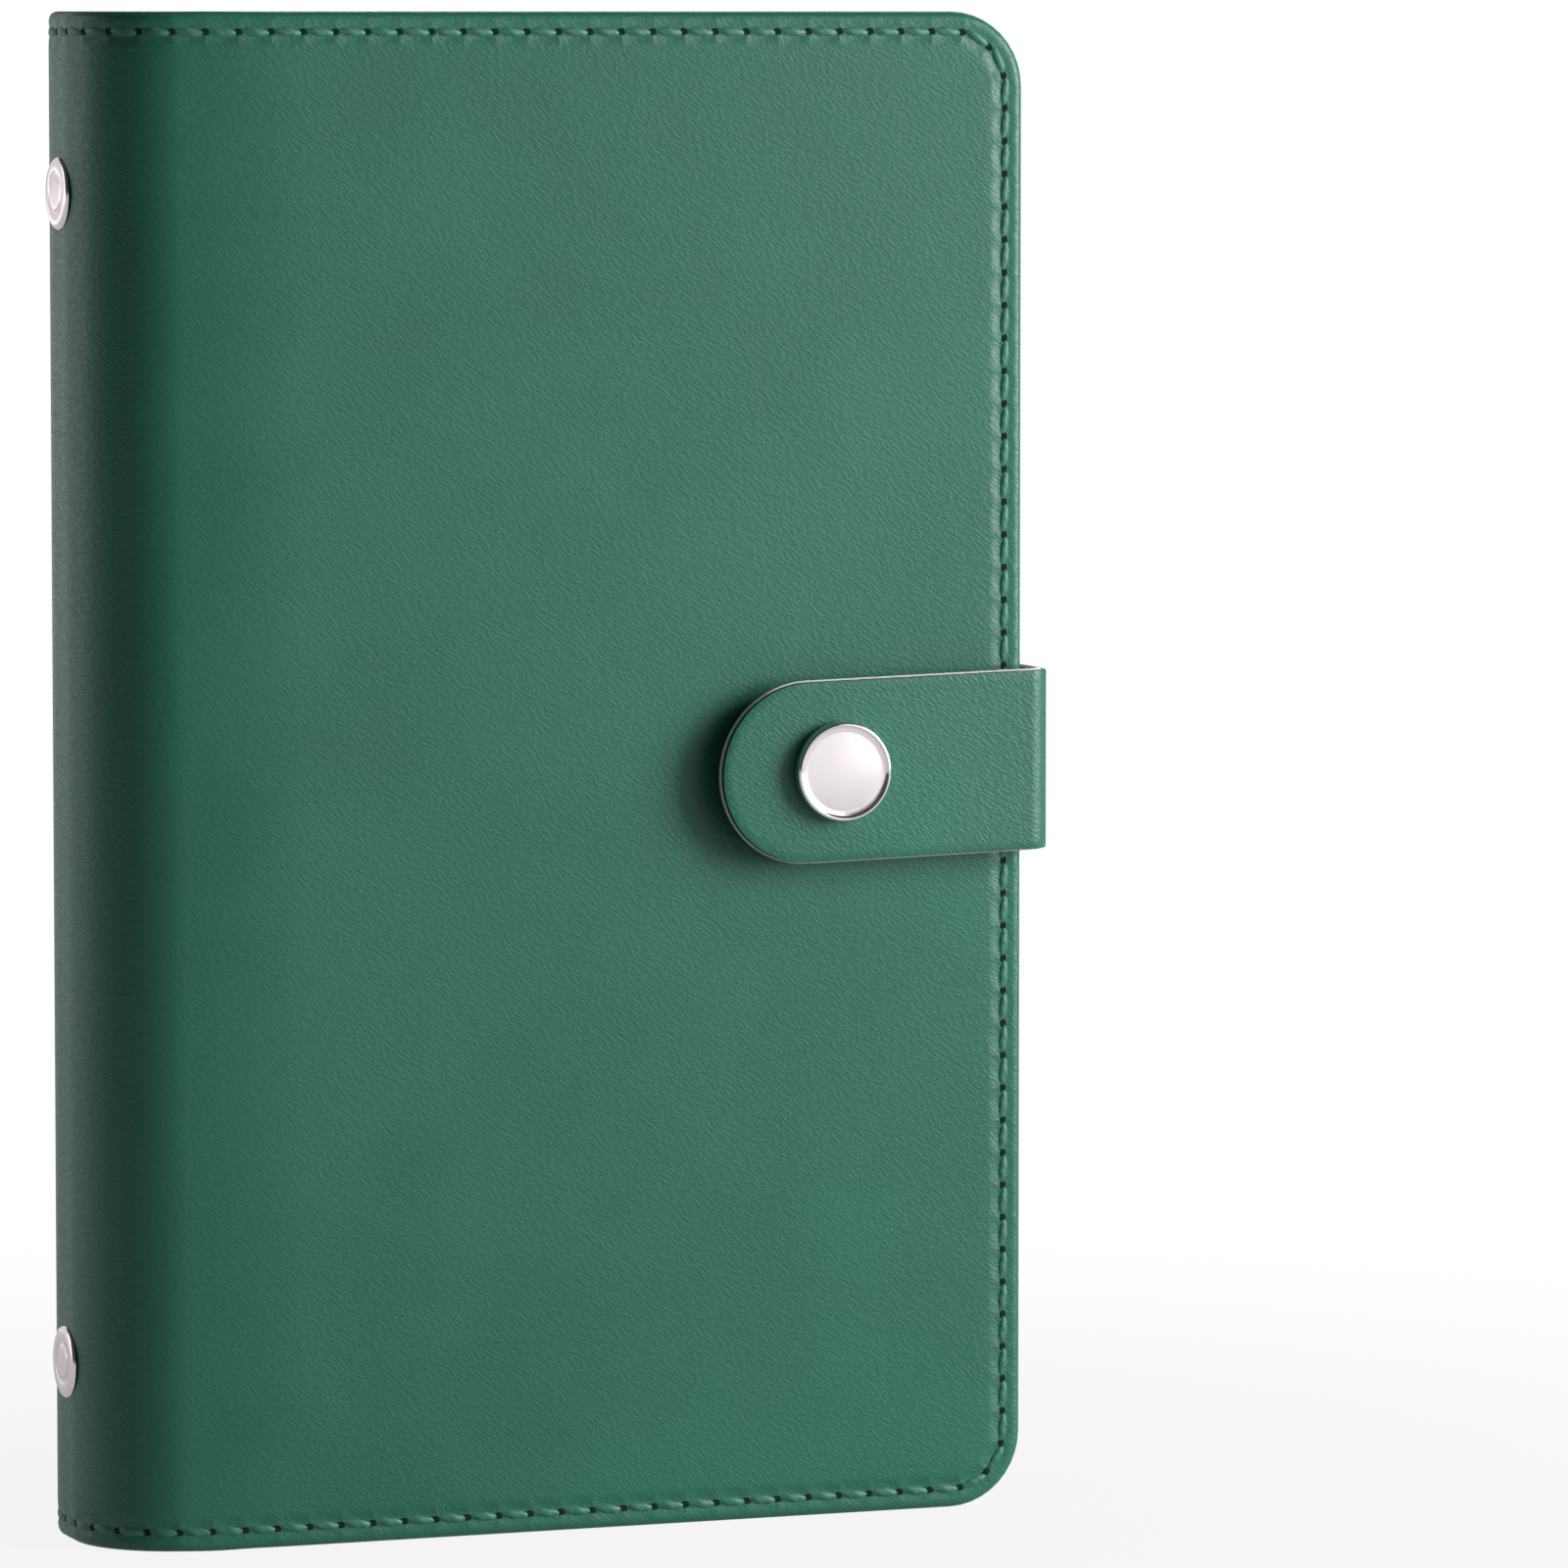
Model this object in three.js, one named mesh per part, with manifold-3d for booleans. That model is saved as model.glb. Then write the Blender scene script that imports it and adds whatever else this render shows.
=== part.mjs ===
// Ring-binder cash wallet, closed and standing upright.
// Millimetres. x runs from the spine to the fore edge, y from the front
// cover's face to the back, z up. The group's origin is the centre of the base.
import * as THREE from 'three';
import { mergeVertices } from 'three/addons/utils/BufferGeometryUtils.js';
import Module from 'manifold-3d';

// Covers and spine
const coverHeight = 190;
const coverWidth = 122;
const walletThickness = 32;
const coverThickness = 2.8;
const spineRadius = 13.5;
const foreCornerRadius = 9.5;
const foldGap = 0.3;

// Strap: a tongue sewn into the back cover, bent round the fore edge
const strapWidth = 23;
const strapThickness = 1.8;
const strapReach = 42.3;
const strapEdgeGap = 0.6;
const strapStandOff = 2.6;
const strapFrontRadius = 3;
const strapBendGap = 0.3;
const tongueDepth = 18;
const tongueThickness = 0.9;
const slotClearance = 0.3;
const shoulderGap = 0.3;

// Ring snap: cap and socket on the strap, stud and eyelet on the front cover
const snapInset = 26.5;
const capRadius = 6.3;
const capHeight = 2;
const capDishRadius = 5.4;
const capDishDepth = 0.3;
const capPostRadius = 1.6;
const postClearance = 0.3;
const socketRadius = 5.5;
const socketThickness = 1.5;
const socketFloor = 0.3;
const studFlangeRadius = 5;
const studFlangeThickness = 0.8;
const studKnobRadius = 2;
const studKnobHeight = 1.4;
const snapClearance = 0.4;
const eyeletRadius = 4.5;
const eyeletFlange = 0.6;
const eyeletShankRadius = 1.5;

// Rivets through the spine
const rivetRadius = 4.5;
const rivetHeadHeight = 0.9;
const rivetShankRadius = 1.6;
const rivetSpan = 145.2;
const clenchRadius = 3;
const clenchThickness = 0.6;

// Ring mechanism
const housingLength = 158;
const housingHalfWidth = 7.75;
const housingRise = 3.3;
const housingSheet = 0.8;
const housingFootGap = 0.6;
const plateReach = 6.2;
const plateSheet = 0.7;
const plateLength = 137;
const plateGap = 0.3;
const ringWireRadius = 1.2;
const ringRadius = 9.5;
const ringCentreX = 15;
const ringLegAngle = THREE.MathUtils.degToRad(45);
const ringTipGap = 0.3;
const ringHoleClearance = 0.9;
const ringPitch = 19;
const ringInnerOffset = 25.5;
const ringsEachSide = 3;
const stakeGap = 0.05;

// Film envelopes
const envelopeCount = 10;
const envelopePitch = 1.15;
const envelopeThickness = 0.8;
const envelopeWidth = 97.5;
const envelopeHeight = 168;
const envelopeCornerRadius = 4;
const envelopeHoleRadius = 3;
const envelopeHoleMargin = 5.5;
const envelopeHoleShift = 0.95;

// Smoothness of round shapes
const arcSegments = 8;
const holeSegments = 6;
const smallRound = 20;
const wireSides = 8;
const wireSteps = 11;

const middleY = walletThickness / 2;
const middleZ = coverHeight / 2;
const snapX = coverWidth - snapInset;
const strapFaceY = -(strapStandOff + strapThickness);
const backInnerY = walletThickness - coverThickness;
const tongueMiddleY = walletThickness - coverThickness / 2;
const strapLow = middleZ - strapWidth / 2;
const strapTangentX = coverWidth + strapEdgeGap + strapThickness - strapFrontRadius;
const ringHeights = [];
for (let i = ringsEachSide - 1; i >= 0; i -= 1) {
  ringHeights.push(middleZ - ringInnerOffset - i * ringPitch);
}
for (let i = 0; i < ringsEachSide; i += 1) {
  ringHeights.push(middleZ + ringInnerOffset + i * ringPitch);
}

const wasm = await Module();
wasm.setup();

const materials = {
  leather: new THREE.MeshStandardMaterial({ color: 0x42785f, roughness: 0.55, metalness: 0 }),
  nickel: new THREE.MeshStandardMaterial({ color: 0xe1d5d5, roughness: 0.12, metalness: 1 }),
  rivet: new THREE.MeshStandardMaterial({ color: 0xcdbec1, roughness: 0.2, metalness: 1 }),
  steel: new THREE.MeshStandardMaterial({ color: 0xc9cbcd, roughness: 0.18, metalness: 1 }),
  film: new THREE.MeshStandardMaterial({
    color: 0xe8eef0, roughness: 0.1, metalness: 0, transparent: true, opacity: 0.35,
  }),
};

// A geometry as a solid, with its shared corners merged
function toSolid(geometry) {
  const plain = geometry.clone();
  plain.deleteAttribute('normal');
  plain.deleteAttribute('uv');
  const merged = mergeVertices(plain, 1e-4);
  return new wasm.Manifold(new wasm.Mesh({
    numProp: 3,
    vertProperties: Float32Array.from(merged.attributes.position.array),
    triVerts: Uint32Array.from(merged.index.array),
  }));
}

function toGeometry(solid) {
  const result = solid.getMesh();
  const geometry = new THREE.BufferGeometry();
  geometry.setAttribute('position', new THREE.BufferAttribute(result.vertProperties, 3));
  geometry.setIndex(new THREE.BufferAttribute(result.triVerts, 1));
  geometry.computeVertexNormals();
  return geometry;
}

function cut(body, tools) {
  let solid = toSolid(body);
  for (const tool of tools) {
    solid = solid.subtract(toSolid(tool));
  }
  return toGeometry(solid);
}

// A plan section in x and y, raised along z
function raised(section, low, height) {
  const geometry = new THREE.ExtrudeGeometry(section, {
    depth: height, bevelEnabled: false, curveSegments: arcSegments,
  });
  return geometry.translate(0, 0, low);
}

// An outline in x and z, given a thickness along y
function sheet(outline, frontY, thickness, segments = arcSegments) {
  const geometry = new THREE.ExtrudeGeometry(outline, {
    depth: thickness, bevelEnabled: false, curveSegments: segments,
  });
  return geometry.rotateX(Math.PI / 2).translate(0, frontY + thickness, 0);
}

function barAlongX(radius, startX, endX, y, z) {
  const geometry = new THREE.CylinderGeometry(radius, radius, endX - startX, smallRound);
  return geometry.rotateZ(-Math.PI / 2).translate((startX + endX) / 2, y, z);
}

function barAlongY(radius, startY, endY, x, z) {
  const geometry = new THREE.CylinderGeometry(radius, radius, endY - startY, smallRound);
  return geometry.translate(x, (startY + endY) / 2, z);
}

// A turned piece: its profile is pairs of radius and height along +Y
function turned(profile) {
  const points = profile.map(([radius, height]) => new THREE.Vector2(radius, height));
  return new THREE.LatheGeometry(points, smallRound);
}

// The x of the spine's inner face at a given y
function spineInnerX(y) {
  const radius = spineRadius - coverThickness;
  const fromMiddle = Math.abs(y - middleY);
  const beyondFlat = Math.max(0, fromMiddle - (middleY - spineRadius));
  return spineRadius - Math.sqrt(radius * radius - beyondFlat * beyondFlat);
}

function coverOutline() {
  const startX = spineRadius + foldGap;
  const radius = foreCornerRadius;
  const outline = new THREE.Shape();
  outline.moveTo(startX, 0);
  outline.lineTo(coverWidth - radius, 0);
  outline.absarc(coverWidth - radius, radius, radius, -Math.PI / 2, 0, false);
  outline.lineTo(coverWidth, coverHeight - radius);
  outline.absarc(coverWidth - radius, coverHeight - radius, radius, 0, Math.PI / 2, false);
  outline.lineTo(startX, coverHeight);
  outline.closePath();
  return outline;
}

function frontCover() {
  const shankHole = eyeletShankRadius + postClearance;
  return cut(sheet(coverOutline(), 0, coverThickness), [
    barAlongY(shankHole, -1, coverThickness + 1, snapX, middleZ),
  ]);
}

// The back cover is open at its fore edge where the strap's tongue goes in
function backCover() {
  const slotLength = tongueDepth + slotClearance;
  const slotHeight = tongueThickness + 2 * slotClearance;
  const slot = new THREE.BoxGeometry(slotLength + 1, slotHeight, strapWidth + 2 * slotClearance);
  slot.translate(coverWidth - slotLength + (slotLength + 1) / 2, tongueMiddleY, middleZ);
  return cut(sheet(coverOutline(), backInnerY, coverThickness), [slot]);
}

function spine() {
  const inner = spineRadius - coverThickness;
  const section = new THREE.Shape();
  section.moveTo(spineRadius, 0);
  section.lineTo(spineRadius, coverThickness);
  section.absarc(spineRadius, spineRadius, inner, -Math.PI / 2, -Math.PI, true);
  section.absarc(spineRadius, walletThickness - spineRadius, inner, Math.PI, Math.PI / 2, true);
  section.lineTo(spineRadius, walletThickness);
  section.absarc(spineRadius, walletThickness - spineRadius, spineRadius, Math.PI / 2, Math.PI, false);
  section.absarc(spineRadius, spineRadius, spineRadius, Math.PI, 1.5 * Math.PI, false);
  const holes = rivetHeights().map((z) => barAlongX(
    rivetShankRadius + postClearance, -1, coverThickness + 2, middleY, z,
  ));
  return cut(raised(section, 0, coverHeight), holes);
}

function rivetHeights() {
  return [middleZ + rivetSpan / 2, middleZ - rivetSpan / 2];
}

// The strap from its tongue, round the fore edge, to the bend at the front
function strapWrap() {
  const faceX = coverWidth + strapEdgeGap + strapThickness;
  const innerX = coverWidth + strapEdgeGap;
  const tongueBackY = tongueMiddleY + tongueThickness / 2;
  const tongueFrontY = tongueMiddleY - tongueThickness / 2;
  const shoulderX = coverWidth + shoulderGap;
  const backRadius = faceX - shoulderX;
  const backCentreY = tongueBackY - backRadius;
  const frontCentreY = strapFaceY + strapFrontRadius;
  const frontInner = strapFrontRadius - strapThickness;
  const section = new THREE.Shape();
  section.moveTo(coverWidth - tongueDepth, tongueFrontY);
  section.lineTo(shoulderX, tongueFrontY);
  section.lineTo(shoulderX, backCentreY + innerX - shoulderX);
  section.absarc(shoulderX, backCentreY, innerX - shoulderX, Math.PI / 2, 0, true);
  section.lineTo(innerX, frontCentreY);
  section.absarc(strapTangentX, frontCentreY, frontInner, 0, -Math.PI / 2, true);
  section.lineTo(strapTangentX, strapFaceY);
  section.absarc(strapTangentX, frontCentreY, strapFrontRadius, -Math.PI / 2, 0, false);
  section.lineTo(faceX, backCentreY);
  section.absarc(shoulderX, backCentreY, backRadius, 0, Math.PI / 2, false);
  section.lineTo(coverWidth - tongueDepth, tongueBackY);
  section.closePath();
  return raised(section, strapLow, strapWidth);
}

// The strap's free end, with a round tip and a hole for the cap's post
function strapTab() {
  const radius = strapWidth / 2;
  const endX = strapTangentX - strapBendGap;
  const tipX = coverWidth - strapReach + radius;
  const outline = new THREE.Shape();
  outline.moveTo(endX, middleZ - radius);
  outline.lineTo(endX, middleZ + radius);
  outline.lineTo(tipX, middleZ + radius);
  outline.absarc(tipX, middleZ, radius, Math.PI / 2, 1.5 * Math.PI, false);
  outline.closePath();
  const hole = new THREE.Path();
  hole.absarc(snapX, middleZ, capPostRadius + postClearance, 0, 2 * Math.PI, true);
  outline.holes.push(hole);
  return sheet(outline, strapFaceY, strapThickness);
}

// The cap faces -Y and its post goes through the strap into the socket
function snapCap() {
  const postLength = strapThickness + socketFloor;
  const edge = 0.4;
  const cap = turned([
    [0, -postLength],
    [capPostRadius, -postLength],
    [capPostRadius, 0],
    [capRadius - edge / 2, 0],
    [capRadius, edge],
    [capRadius, capHeight - edge],
    [capRadius - edge, capHeight],
    [capDishRadius + edge / 2, capHeight],
    [capDishRadius, capHeight - capDishDepth],
    [0, capHeight - capDishDepth],
  ]);
  return cap.rotateX(Math.PI).translate(snapX, strapFaceY, middleZ);
}

// A ring with a floor round the post and a wider mouth for the stud's knob
function snapSocket() {
  const mouth = studKnobRadius + snapClearance;
  const neck = capPostRadius + postClearance;
  const socket = turned([
    [neck, 0],
    [socketRadius, 0],
    [socketRadius, socketThickness],
    [mouth, socketThickness],
    [mouth, socketFloor],
    [neck, socketFloor],
    [neck, 0],
  ]);
  return socket.translate(snapX, -strapStandOff, middleZ);
}

function snapStud() {
  const top = studFlangeThickness + studKnobHeight;
  const stud = turned([
    [0, 0],
    [studFlangeRadius, 0],
    [studFlangeRadius, studFlangeThickness * 0.6],
    [studFlangeRadius - 0.4, studFlangeThickness],
    [studKnobRadius - 0.3, studFlangeThickness],
    [studKnobRadius, studFlangeThickness + studKnobHeight * 0.6],
    [studKnobRadius - 0.4, top],
    [0, top],
  ]);
  return stud.rotateX(Math.PI).translate(snapX, 0, middleZ);
}

function snapEyelet() {
  const eyelet = turned([
    [0, -coverThickness + postClearance],
    [eyeletShankRadius, -coverThickness + postClearance],
    [eyeletShankRadius, 0],
    [eyeletRadius, 0],
    [eyeletRadius - 0.3, eyeletFlange],
    [0, eyeletFlange],
  ]);
  return eyelet.translate(snapX, coverThickness, middleZ);
}

// The housing's arch: its centre and outer radius in plan
function archRadius() {
  return (housingHalfWidth ** 2 + housingRise ** 2) / (2 * housingRise);
}

function archCrownX() {
  return spineInnerX(middleY - housingHalfWidth) + housingFootGap + housingRise;
}

function archInnerX(offset) {
  const inner = archRadius() - housingSheet;
  return archCrownX() - archRadius() + Math.sqrt(inner * inner - offset * offset);
}

function plateTopX() {
  return archInnerX(plateReach) - plateGap;
}

// Each rivet is one piece: head outside, shank, and the end clenched inside
function spineRivet(z) {
  const inside = archCrownX() + stakeGap;
  const rivet = turned([
    [0, -inside - clenchThickness],
    [clenchRadius - 0.3, -inside - clenchThickness],
    [clenchRadius, -inside],
    [rivetShankRadius, -inside],
    [rivetShankRadius, 0],
    [rivetRadius, 0],
    [rivetRadius, rivetHeadHeight * 0.4],
    [rivetRadius - 0.7, rivetHeadHeight * 0.85],
    [rivetRadius - 2, rivetHeadHeight],
    [0, rivetHeadHeight],
  ]);
  return rivet.rotateZ(Math.PI / 2).translate(0, middleY, z);
}

// The front half ring about the middle: an arc from the tip, then a straight leg
class RingPath extends THREE.Curve {
  constructor() {
    super();
    this.start = ringTipGap / 2 / ringRadius;
    this.turn = Math.PI - ringLegAngle - this.start;
    this.endX = plateTopX() + stakeGap + ringWireRadius * Math.sin(ringLegAngle);
    const bottomX = ringCentreX - ringRadius * Math.cos(ringLegAngle);
    this.leg = (bottomX - this.endX) / Math.sin(ringLegAngle);
  }

  getPoint(t, target = new THREE.Vector3()) {
    const along = t * (this.turn * ringRadius + this.leg);
    const angle = this.start + Math.min(along / ringRadius, this.turn);
    const past = Math.max(0, along - this.turn * ringRadius);
    const x = ringCentreX + ringRadius * Math.cos(angle) - past * Math.sin(ringLegAngle);
    const out = ringRadius * Math.sin(angle) - past * Math.cos(ringLegAngle);
    return target.set(x, -out, 0);
  }
}

function ringHalf(side, z) {
  const section = new THREE.Shape();
  section.absarc(0, 0, ringWireRadius, 0, 2 * Math.PI, false);
  const outline = new THREE.Shape(section.getPoints(wireSides).slice(0, wireSides));
  const geometry = new THREE.ExtrudeGeometry(outline, {
    steps: wireSteps, extrudePath: new RingPath(), bevelEnabled: false,
  });
  return geometry.rotateX(side > 0 ? Math.PI : 0).translate(0, middleY, z);
}

// The arched housing, with a hole for each ring's leg and each rivet
function ringHousing() {
  const outer = archRadius();
  const centreX = archCrownX() - outer;
  const spread = Math.asin(housingHalfWidth / outer);
  const section = new THREE.Shape();
  section.absarc(centreX, middleY, outer, -spread, spread, false);
  section.absarc(centreX, middleY, outer - housingSheet, spread, -spread, true);
  section.closePath();
  const tools = [];
  for (const z of rivetHeights()) {
    tools.push(barAlongX(
      rivetShankRadius + postClearance, archCrownX() - 2 * housingSheet, archCrownX() + 2, middleY, z,
    ));
  }
  for (const z of ringHeights) {
    for (const side of [-1, 1]) {
      tools.push(legHole(side, z));
    }
  }
  return cut(raised(section, middleZ - housingLength / 2, housingLength), tools);
}

function legHole(side, z) {
  const path = new RingPath();
  const total = path.turn * ringRadius + path.leg;
  const low = path.getPoint(1);
  const high = path.getPoint(1 - path.leg / total);
  const radius = ringWireRadius + ringHoleClearance;
  const hole = new THREE.CylinderGeometry(radius, radius, low.distanceTo(high) + 2, smallRound);
  const direction = high.clone().sub(low).normalize();
  const turn = new THREE.Quaternion().setFromUnitVectors(new THREE.Vector3(0, 1, 0), direction);
  hole.applyQuaternion(turn).translate((low.x + high.x) / 2, (low.y + high.y) / 2, 0);
  return hole.rotateX(side > 0 ? Math.PI : 0).translate(0, middleY, z);
}

// The plates lie under the housing and meet at the middle
function hingePlate(side) {
  const reach = plateReach - plateGap / 2;
  const plate = new THREE.BoxGeometry(plateSheet, reach, plateLength);
  const centreY = middleY + side * (plateGap / 2 + reach / 2);
  return plate.translate(plateTopX() - plateSheet / 2, centreY, middleZ);
}

// The x of the ring's wire on its far side at a given y
function ringFarX(y) {
  const offset = y - middleY;
  return ringCentreX + Math.sqrt(ringRadius * ringRadius - offset * offset);
}

// An envelope hangs with its holes round the wire, so each is shifted along x
function envelope(index) {
  const centreY = middleY + (index - (envelopeCount - 1) / 2) * envelopePitch;
  const holeX = ringFarX(centreY) + envelopeHoleShift;
  const left = holeX - envelopeHoleMargin;
  const right = left + envelopeWidth;
  const low = middleZ - envelopeHeight / 2;
  const high = middleZ + envelopeHeight / 2;
  const radius = envelopeCornerRadius;
  const outline = new THREE.Shape();
  outline.moveTo(left, low);
  outline.lineTo(right - radius, low);
  outline.absarc(right - radius, low + radius, radius, -Math.PI / 2, 0, false);
  outline.lineTo(right, high - radius);
  outline.absarc(right - radius, high - radius, radius, 0, Math.PI / 2, false);
  outline.lineTo(left, high);
  outline.closePath();
  for (const z of ringHeights) {
    const hole = new THREE.Path();
    hole.absarc(holeX, z, envelopeHoleRadius, 0, 2 * Math.PI, true);
    outline.holes.push(hole);
  }
  return sheet(outline, centreY - envelopeThickness / 2, envelopeThickness, holeSegments);
}

const wallet = new THREE.Group();

function addPiece(name, geometry, material) {
  const mesh = new THREE.Mesh(geometry, material);
  mesh.name = name;
  wallet.add(mesh);
}

addPiece('front_cover', frontCover(), materials.leather);
addPiece('spine', spine(), materials.leather);
addPiece('back_cover', backCover(), materials.leather);
addPiece('strap_wrap', strapWrap(), materials.leather);
addPiece('strap_tab', strapTab(), materials.leather);
addPiece('snap_cap', snapCap(), materials.nickel);
addPiece('snap_socket', snapSocket(), materials.nickel);
addPiece('snap_stud', snapStud(), materials.nickel);
addPiece('snap_eyelet', snapEyelet(), materials.nickel);
const [topRivet, bottomRivet] = rivetHeights();
addPiece('spine_rivet_top', spineRivet(topRivet), materials.rivet);
addPiece('spine_rivet_bottom', spineRivet(bottomRivet), materials.rivet);
addPiece('ring_housing', ringHousing(), materials.steel);
addPiece('hinge_plate_front', hingePlate(-1), materials.steel);
addPiece('hinge_plate_back', hingePlate(1), materials.steel);
ringHeights.forEach((z, index) => {
  addPiece(`ring_front_${index + 1}`, ringHalf(-1, z), materials.steel);
  addPiece(`ring_back_${index + 1}`, ringHalf(1, z), materials.steel);
});
for (let index = 0; index < envelopeCount; index += 1) {
  addPiece(`envelope_${index + 1}`, envelope(index), materials.film);
}

// The origin goes to the middle of the base
const box = new THREE.Box3().setFromObject(wallet);
const centre = box.getCenter(new THREE.Vector3());
wallet.position.set(-centre.x, -centre.y, -box.min.z);

export default wallet;
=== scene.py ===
import math
import random

import bmesh
import bpy
from bpy.props import FloatProperty, FloatVectorProperty, PointerProperty
from bpy.types import Operator, Panel, PropertyGroup
from mathutils import Matrix, Vector


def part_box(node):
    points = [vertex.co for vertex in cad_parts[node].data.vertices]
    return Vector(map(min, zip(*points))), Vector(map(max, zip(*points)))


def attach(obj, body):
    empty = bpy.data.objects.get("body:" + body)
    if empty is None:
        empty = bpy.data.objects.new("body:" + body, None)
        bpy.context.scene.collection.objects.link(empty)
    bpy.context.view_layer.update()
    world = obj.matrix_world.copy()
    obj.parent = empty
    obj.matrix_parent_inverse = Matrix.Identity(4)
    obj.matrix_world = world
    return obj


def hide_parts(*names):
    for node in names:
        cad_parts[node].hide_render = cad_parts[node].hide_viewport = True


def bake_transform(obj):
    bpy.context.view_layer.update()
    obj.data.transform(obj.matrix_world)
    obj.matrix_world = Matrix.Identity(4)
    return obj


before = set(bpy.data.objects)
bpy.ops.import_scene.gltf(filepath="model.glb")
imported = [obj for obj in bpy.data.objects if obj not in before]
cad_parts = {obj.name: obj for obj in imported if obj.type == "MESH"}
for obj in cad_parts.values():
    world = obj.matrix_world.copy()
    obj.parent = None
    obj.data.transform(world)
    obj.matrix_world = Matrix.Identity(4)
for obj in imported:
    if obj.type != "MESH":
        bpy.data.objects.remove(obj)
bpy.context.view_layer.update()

bl_info = {
    "name": "Cash envelope wallet",
    "version": (1, 0, 0),
    "blender": (4, 5, 0),
    "location": "3D View > Sidebar > Wallet",
    "description": "Leather, thread, metal and film of a ring-binder cash wallet",
    "category": "Object",
}

MM = 0.001
WELD_DISTANCE = 1e-7
CHANNEL_DEPTH = 0.17 * MM

# Places that the pieces share, from the frame
cover_low, cover_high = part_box("front_cover")
back_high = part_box("back_cover")[1]
spine_low, spine_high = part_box("spine")
tab_low, tab_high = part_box("strap_tab")
wrap_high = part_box("strap_wrap")[1]
cap_low, cap_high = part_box("snap_cap")
stud_low, stud_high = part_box("snap_stud")
eyelet_low, eyelet_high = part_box("snap_eyelet")
socket_low, socket_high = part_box("snap_socket")
FORE_X = cover_high[0]
FRONT_Y = cover_low[1]
BACK_Y = back_high[1]
SPINE_X = spine_low[0]
HEIGHT = spine_high[2]
MIDDLE_Y = (FRONT_Y + BACK_Y) / 2
MIDDLE_Z = HEIGHT / 2
COVER_THICKNESS = cover_high[1] - cover_low[1]
SPINE_RADIUS = spine_high[0] - spine_low[0]
SNAP_X = (cap_low[0] + cap_high[0]) / 2
RING_NUMBERS = range(1, 7)
ENVELOPE_NUMBERS = range(1, 11)


class CoverSettings(PropertyGroup):
    corner_radius: FloatProperty(
        name="Corner radius", description="Radius of the covers' fore corners",
        default=9.5 * MM, unit="LENGTH")
    seam_inset: FloatProperty(
        name="Seam inset", description="From the edge to the row of stitches",
        default=2.5 * MM, unit="LENGTH")
    stitch_pitch: FloatProperty(
        name="Stitch pitch", description="From one needle hole to the next",
        default=4.15 * MM, unit="LENGTH")
    stitch_width: FloatProperty(
        name="Thread width", description="Width of the thread where it shows",
        default=1.15 * MM, unit="LENGTH")
    stitch_height: FloatProperty(
        name="Thread height", description="Height of the thread above its channel",
        default=0.5 * MM, unit="LENGTH")
    soft_fold: FloatProperty(
        name="Soft fold", description="Radius at which the covers start to bend to the spine",
        default=120 * MM, unit="LENGTH")
    soft_angle: FloatProperty(
        name="Soft angle", description="How far the covers turn at that radius",
        default=math.radians(7.5), subtype="ANGLE")
    gutter_place: FloatProperty(
        name="Gutter place", description="From the start of the bend to the lining's gutter",
        default=12.4 * MM, unit="LENGTH")
    gutter_reach: FloatProperty(
        name="Gutter reach", description="Half the width of the lining's gutter",
        default=6 * MM, unit="LENGTH")
    leather_colour: FloatVectorProperty(
        name="Leather", description="Colour of the imitation leather",
        default=(0.016, 0.134, 0.084), subtype="COLOR", size=3)
    thread_colour: FloatVectorProperty(
        name="Thread", description="Colour of the thread",
        default=(0.026, 0.165, 0.106), subtype="COLOR", size=3)


class StrapSettings(PropertyGroup):
    face_thickness: FloatProperty(
        name="Face", description="Thickness of the strap's outer leather",
        default=0.72 * MM, unit="LENGTH")
    core_thickness: FloatProperty(
        name="Core", description="Thickness of the pale layer that shows at the cut edge",
        default=0.5 * MM, unit="LENGTH")
    front_bend: FloatProperty(
        name="Front bend", description="Radius of the strap's bend at the front",
        default=3 * MM, unit="LENGTH")
    back_bend: FloatProperty(
        name="Back bend", description="Radius of the strap's bend at the back cover",
        default=2.1 * MM, unit="LENGTH")
    tilt: FloatProperty(
        name="Tilt", description="How far the closed strap leans up to its bend",
        default=math.radians(1.5), subtype="ANGLE")
    core_colour: FloatVectorProperty(
        name="Core", description="Colour of the cut edge",
        default=(0.84, 0.76, 0.70), subtype="COLOR", size=3)


class MetalSettings(PropertyGroup):
    snap_colour: FloatVectorProperty(
        name="Snap", description="Colour of the polished snap",
        default=(0.88, 0.82, 0.82), subtype="COLOR", size=3)
    rivet_colour: FloatVectorProperty(
        name="Rivet", description="Colour of the spine rivets",
        default=(0.80, 0.71, 0.72), subtype="COLOR", size=3)
    ring_colour: FloatVectorProperty(
        name="Rings", description="Colour of the nickel-plated rings",
        default=(0.72, 0.73, 0.74), subtype="COLOR", size=3)
    wire_radius: FloatProperty(
        name="Wire radius", description="Radius of the ring wire",
        default=1.2 * MM, unit="LENGTH")
    ring_radius: FloatProperty(
        name="Ring radius", description="Radius of the rings at the middle of the wire",
        default=9.5 * MM, unit="LENGTH")
    ring_centre: FloatProperty(
        name="Ring centre", description="From the spine's outer face to the rings' centre",
        default=15 * MM, unit="LENGTH")


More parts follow.
